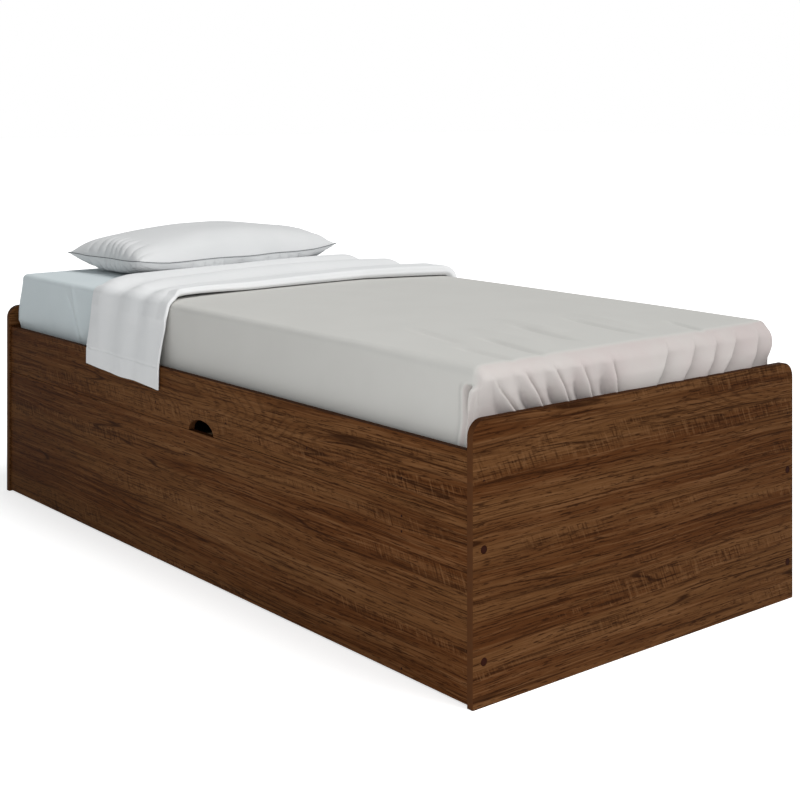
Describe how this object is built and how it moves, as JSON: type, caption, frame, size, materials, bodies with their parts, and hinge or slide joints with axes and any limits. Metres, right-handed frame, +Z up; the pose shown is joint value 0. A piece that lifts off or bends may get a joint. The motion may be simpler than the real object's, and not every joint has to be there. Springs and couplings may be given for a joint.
{
  "type": "storage bed",
  "caption": "Storage bed in dark wood print: panel ends, notched top rail over a full-length roll-out drawer, slat base, made-up mattress and pillow.",
  "frame": {"origin": "on the floor under the middle of the bed", "axes": "+X to the foot end, -Y to the side the drawer opens to, +Z up"},
  "size_m": [1.9393, 0.9519, 0.7339],
  "materials": {
    "wood_print": "satin dark brown rustic wood print with saw marks",
    "inner_board": "plain matt chipboard foil",
    "slat_wood": "bare planed pine",
    "cap_plastic": "satin",
    "steel": "zinc plated",
    "wheel_nylon": "moulded nylon",
    "ticking": "knitted ticking",
    "sheet_bluewhite": "plain cotton sheet",
    "sheet_white": "plain cotton sheet",
    "cover_grey": "thin grey-beige cover",
    "pillow_white": "smooth cotton pillowcase"
  },
  "bodies": {
    "bed_frame": {"headboard": "wood_print", "footboard": "wood_print", "front_rail": "wood_print", "rear_panel": "wood_print", "front_post_head": "inner_board", "front_post_foot": "inner_board", "front_cleat": "slat_wood", "rear_cleat": "slat_wood", "slat_01": "slat_wood", "slat_02": "slat_wood", "slat_03": "slat_wood", "slat_04": "slat_wood", "slat_05": "slat_wood", "slat_06": "slat_wood", "slat_07": "slat_wood", "slat_08": "slat_wood", "slat_09": "slat_wood", "slat_10": "slat_wood", "slat_11": "slat_wood", "slat_12": "slat_wood", "frame_bolt_head_front_low": "cap_plastic", "frame_bolt_head_front_high": "cap_plastic", "frame_bolt_head_rear_low": "cap_plastic", "frame_bolt_head_rear_high": "cap_plastic", "frame_bolt_foot_front_low": "cap_plastic", "frame_bolt_foot_front_high": "cap_plastic", "frame_bolt_foot_rear_low": "cap_plastic", "frame_bolt_foot_rear_high": "cap_plastic", "mattress": "ticking", "fitted_sheet": "sheet_bluewhite", "bed_cover": "cover_grey", "top_sheet": "sheet_white", "pillow": "pillow_white"},
    "drawer": {"drawer_front": "wood_print", "drawer_side_head": "inner_board", "drawer_divider": "inner_board", "drawer_side_foot": "inner_board", "drawer_back": "inner_board", "drawer_bottom_head": "inner_board", "drawer_bottom_foot": "inner_board", "drawer_bearer_head_low": "slat_wood", "drawer_bearer_head_high": "slat_wood", "drawer_bearer_foot_low": "slat_wood", "drawer_bearer_foot_high": "slat_wood", "caster_fork_head_front": "steel", "caster_fork_head_rear": "steel", "caster_fork_foot_front": "steel", "caster_fork_foot_rear": "steel", "caster_axle_head_front": "steel", "caster_axle_head_rear": "steel", "caster_axle_foot_front": "steel", "caster_axle_foot_rear": "steel"},
    "wheel_head_front": {"caster_wheel_head_front": "wheel_nylon"},
    "wheel_head_rear": {"caster_wheel_head_rear": "wheel_nylon"},
    "wheel_foot_front": {"caster_wheel_foot_front": "wheel_nylon"},
    "wheel_foot_rear": {"caster_wheel_foot_rear": "wheel_nylon"}
  },
  "joints": [
    {"name": "drawer_slide", "type": "slide", "parent": "bed_frame", "child": "drawer", "axis": [0, -1, 0], "range_m": [0, 0.75]},
    {"name": "wheel_spin_head_front", "type": "hinge", "parent": "drawer", "child": "wheel_head_front", "pos_m": [-0.723, -0.3633, 0.02], "axis": [1, 0, 0], "range_deg": [0, 2150]},
    {"name": "wheel_spin_head_rear", "type": "hinge", "parent": "drawer", "child": "wheel_head_rear", "pos_m": [-0.723, 0.2567, 0.02], "axis": [1, 0, 0], "range_deg": [0, 2150]},
    {"name": "wheel_spin_foot_front", "type": "hinge", "parent": "drawer", "child": "wheel_foot_front", "pos_m": [0.723, -0.3633, 0.02], "axis": [1, 0, 0], "range_deg": [0, 2150]},
    {"name": "wheel_spin_foot_rear", "type": "hinge", "parent": "drawer", "child": "wheel_foot_rear", "pos_m": [0.723, 0.2567, 0.02], "axis": [1, 0, 0], "range_deg": [0, 2150]}
  ],
  "couplings": [
    {"joint": "wheel_spin_head_front", "follows": "drawer_slide", "rad_per_m": 50},
    {"joint": "wheel_spin_head_rear", "follows": "drawer_slide", "rad_per_m": 50},
    {"joint": "wheel_spin_foot_front", "follows": "drawer_slide", "rad_per_m": 50},
    {"joint": "wheel_spin_foot_rear", "follows": "drawer_slide", "rad_per_m": 50}
  ]
}
